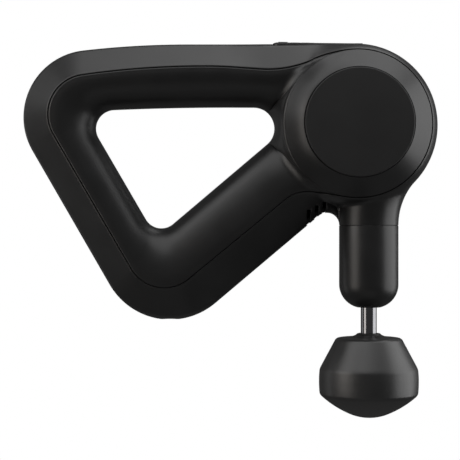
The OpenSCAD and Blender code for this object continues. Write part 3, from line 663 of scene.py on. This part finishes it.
def spread(tree, value, low, high, to_low, to_high):
    """A value carried from one range into another, and held inside it."""
    node = tree.nodes.new("ShaderNodeMapRange")
    set_inputs(node, {"From Min": low, "From Max": high, "To Min": to_low, "To Max": to_high})
    tree.links.new(value, node.inputs["Value"])
    return node.outputs["Result"]


def make_material(name, color, rough, metal=0.0, grain=0.0, grain_size=0.4, vary=0.04,
                  mottle=0.12, wear=0.0, coat=0.0, brushed=None, spec=0.5):
    """A surface with fine grain, uneven gloss, faint mottling and, where asked, paler edges."""
    m = bpy.data.materials.new(name)
    m.use_nodes = True
    tree = m.node_tree
    nodes, links = tree.nodes, tree.links
    bsdf = nodes["Principled BSDF"]
    set_inputs(bsdf, {"Metallic": metal, "Specular IOR Level": spec, "Coat Weight": coat,
                      "Coat Roughness": 0.12})
    place = nodes.new("ShaderNodeTexCoord").outputs["Object"]
    fine_place = place
    if brushed:
        stretch = nodes.new("ShaderNodeMapping")
        stretch.inputs["Scale"].default_value = brushed
        links.new(place, stretch.inputs["Vector"])
        fine_place = stretch.outputs["Vector"]
    cloud = noise(tree, place, 55, 5)
    fine = noise(tree, fine_place, 1000 / grain_size, 3)
    shade = nodes.new("ShaderNodeMixRGB")
    shade.blend_type = "MULTIPLY"
    set_inputs(shade, {"Fac": 1, "Color1": (*color, 1)})
    links.new(spread(tree, cloud, 0.3, 0.7, 1 - mottle, 1 + mottle), shade.inputs["Color2"])
    result = shade.outputs["Color"]
    if wear:
        sharp = nodes.new("ShaderNodeNewGeometry").outputs["Pointiness"]
        pale = [min(1, c * 2.2 + 0.03) for c in color]
        edge = nodes.new("ShaderNodeMixRGB")
        edge.inputs["Color2"].default_value = (*pale, 1)
        links.new(spread(tree, sharp, 0.53, 0.62, 0, wear), edge.inputs["Fac"])
        links.new(result, edge.inputs["Color1"])
        result = edge.outputs["Color"]
    links.new(result, bsdf.inputs["Base Color"])
    both = nodes.new("ShaderNodeMath")
    both.operation = "ADD"
    links.new(cloud, both.inputs[0])
    links.new(fine, both.inputs[1])
    gloss = spread(tree, both.outputs["Value"], 0.6, 1.4, max(0.02, rough - vary), rough + vary)
    links.new(gloss, bsdf.inputs["Roughness"])
    if grain:
        bump = nodes.new("ShaderNodeBump")
        set_inputs(bump, {"Strength": 1.0, "Distance": grain * MM})
        links.new(fine, bump.inputs["Height"])
        links.new(bump.outputs["Normal"], bsdf.inputs["Normal"])
    return m


satin = make_material("satin_plastic", (0.0115, 0.0115, 0.0118), 0.36, grain=0.006,
                      grain_size=0.5, wear=0.05)
matt = make_material("matt_cap", (0.012, 0.012, 0.0123), 0.55, grain=0.01)
foam_skin = make_material("foam_skin", (0.013, 0.013, 0.0132), 0.4, grain=0.025,
                          grain_size=0.7, vary=0.07, spec=0.8)
core_plastic = make_material("core_plastic", (0.012, 0.012, 0.012), 0.4, grain=0.006)
polished = make_material("polished_steel", (0.27, 0.27, 0.28), 0.14, metal=1.0, grain=0.0015,
                         grain_size=0.3, brushed=(0.05, 0.05, 1.0), mottle=0.03, vary=0.03)
LOOKS = {
    "soft_black": satin,
    "cap_black": matt,
    "core_black": core_plastic,
    "foam": foam_skin,
    "bright_steel": polished,
    "pad_black": make_material("pad_plastic", (0.012, 0.012, 0.0125), 0.3, grain=0.003),
    "button": make_material("button_plastic", (0.05, 0.05, 0.053), 0.38, grain=0.006, wear=0.1),
    "lens": make_material("lens_plastic", (0.004, 0.004, 0.005), 0.07, coat=0.6, vary=0.02),
    "chip": make_material("chip_resin", (0.02, 0.02, 0.02), 0.5, grain=0.01),
    "connector": make_material("connector_nylon", (0.7, 0.68, 0.6), 0.45),
    "capacitor": make_material("capacitor_can", (0.05, 0.06, 0.2), 0.3),
    "board": make_material("board_mask", (0.01, 0.1, 0.035), 0.35, mottle=0.2),
    "cell_wrap": make_material("cell_film", (0.03, 0.12, 0.36), 0.25),
    "lead_red": make_material("lead_red", (0.4, 0.02, 0.015), 0.4),
    "lead_yellow": make_material("lead_yellow", (0.65, 0.42, 0.03), 0.4),
    "ribbon": make_material("ribbon_grey", (0.5, 0.5, 0.49), 0.45),
    "black_rubber": make_material("black_rubber", (0.012, 0.012, 0.012), 0.65, grain=0.02),
    "cast_alloy": make_material("cast_alloy", (0.5, 0.5, 0.52), 0.42, metal=1.0, grain=0.02),
    "bronze": make_material("bronze", (0.5, 0.3, 0.12), 0.4, metal=1.0, grain=0.01),
    "copper": make_material("copper_enamel", (0.6, 0.22, 0.08), 0.3, metal=1.0, grain=0.02),
    "steel": make_material("turned_steel", (0.5, 0.5, 0.52), 0.28, metal=1.0, grain=0.003),
    "dark_steel": make_material("dark_steel", (0.1, 0.1, 0.105), 0.35, metal=1.0, grain=0.004),
    "magnet": make_material("magnet_plate", (0.45, 0.45, 0.47), 0.25, metal=1.0),
    "contact": make_material("contact_plate", (0.7, 0.55, 0.25), 0.25, metal=1.0),
    "nickel": make_material("nickel_strip", (0.6, 0.58, 0.54), 0.3, metal=1.0),
}
SLOT_OF = {p["node"]: p["material_slot"] for p in frame["record"]["subparts"]}
for node_name, node_obj in frame["nodes"].items():
    node_obj.data.materials.clear()
    node_obj.data.materials.append(LOOKS[SLOT_OF[node_name]])

for obj, body, node_name in (
    (band, "body", "outer_band"), (front, "body", "front_shell"), (rear, "body", "rear_shell"),
    (front_cap, "body", "front_cap"), (rear_cap, "body", "rear_cap"), (nose, "body", "nose_sleeve"),
    (wiper, "body", "shaft_wiper"), (shaft, "slider", "output_shaft"),
    (core, "attachment", "attachment_core"), (foam, "attachment", "attachment_foam"),
):
    obj.data.materials.clear()
    obj.data.materials.append(LOOKS[SLOT_OF[node_name]])
    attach(obj, body)
    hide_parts(node_name)


# ---- Floor, light and camera ----
FLOOR_Z = -1.3
FLOOR_REACH = 4


def shown_to_camera(tree, lit, shown, output):
    """Sends the camera one shader and every other ray the other."""
    seen = tree.nodes.new("ShaderNodeLightPath")
    either = tree.nodes.new("ShaderNodeMixShader")
    tree.links.new(seen.outputs["Is Camera Ray"], either.inputs["Fac"])
    tree.links.new(lit, either.inputs[1])
    tree.links.new(shown, either.inputs[2])
    tree.links.new(either.outputs["Shader"], tree.nodes[output].inputs["Surface"])


def build_floor():
    """A plain pale floor that throws little light back on the object."""
    signs = ((-1, -1), (1, -1), (1, 1), (-1, 1))
    corners = [(FLOOR_REACH * x, FLOOR_REACH * y, FLOOR_Z) for x, y in signs]
    mesh = bpy.data.meshes.new("floor")
    mesh.from_pydata(corners, [], [(0, 1, 2, 3)])
    obj = bpy.data.objects.new("floor", mesh)
    bpy.context.scene.collection.objects.link(obj)
    m = bpy.data.materials.new("floor")
    m.use_nodes = True
    tree = m.node_tree
    bsdf = tree.nodes["Principled BSDF"]
    set_inputs(bsdf, {"Base Color": (0.4, 0.4, 0.4, 1), "Roughness": 1.0})
    pale = tree.nodes.new("ShaderNodeEmission")
    pale.inputs["Color"].default_value = (0.8, 0.8, 0.8, 1)
    shown_to_camera(tree, bsdf.outputs["BSDF"], pale.outputs["Emission"], "Material Output")
    obj.data.materials.append(m)


build_floor()


def softbox(name, place, size, glow, color=(1, 1, 1), aim=(0, 0, 0)):
    """A rectangular light of even brightness, aimed at a point."""
    data = bpy.data.lights.new(name, "AREA")
    data.shape = "RECTANGLE"
    data.size, data.size_y = size
    data.energy = glow * math.pi * size[0] * size[1]
    data.color = color
    obj = bpy.data.objects.new(name, data)
    obj.location = place
    obj.rotation_euler = (Vector(aim) - Vector(place)).to_track_quat("-Z", "Y").to_euler()
    bpy.context.scene.collection.objects.link(obj)


softbox("top_light", (0.1, -0.14, 0.85), (1.7, 1.0), 1.6)
softbox("upper_left", (-0.75, -0.22, 0.5), (0.6, 0.6), 1.4)
softbox("low_front", (0.0, -0.55, -0.5), (0.9, 0.35), 0.15)
softbox("right_light", (0.85, -0.02, 0.1), (0.9, 1.0), 2.0)
softbox("left_warm", (-0.7, -0.42, 0.05), (0.45, 0.8), 1.8, (1, 0.94, 0.88))
softbox("left_rim", (-0.8, 0.32, 0.0), (0.2, 1.0), 0.7)

world = bpy.data.worlds.new("studio")
bpy.context.scene.world = world
world.use_nodes = True
ambient = world.node_tree.nodes["Background"]
set_inputs(ambient, {"Color": (1, 1, 1, 1), "Strength": 0.09})
white = world.node_tree.nodes.new("ShaderNodeBackground")
white.inputs["Color"].default_value = (1, 1, 1, 1)
shown_to_camera(world.node_tree, ambient.outputs["Background"], white.outputs["Background"],
                "World Output")

bpy.context.scene.view_settings.view_transform = "Standard"
camera_data = bpy.data.cameras.new("camera")
camera_data.lens = 108.7
camera_data.sensor_width = 36
camera = bpy.data.objects.new("camera", camera_data)
camera.location = (0, -0.82, 0)
camera.rotation_euler = (math.pi / 2, 0, 0)
bpy.context.scene.collection.objects.link(camera)
bpy.context.scene.camera = camera
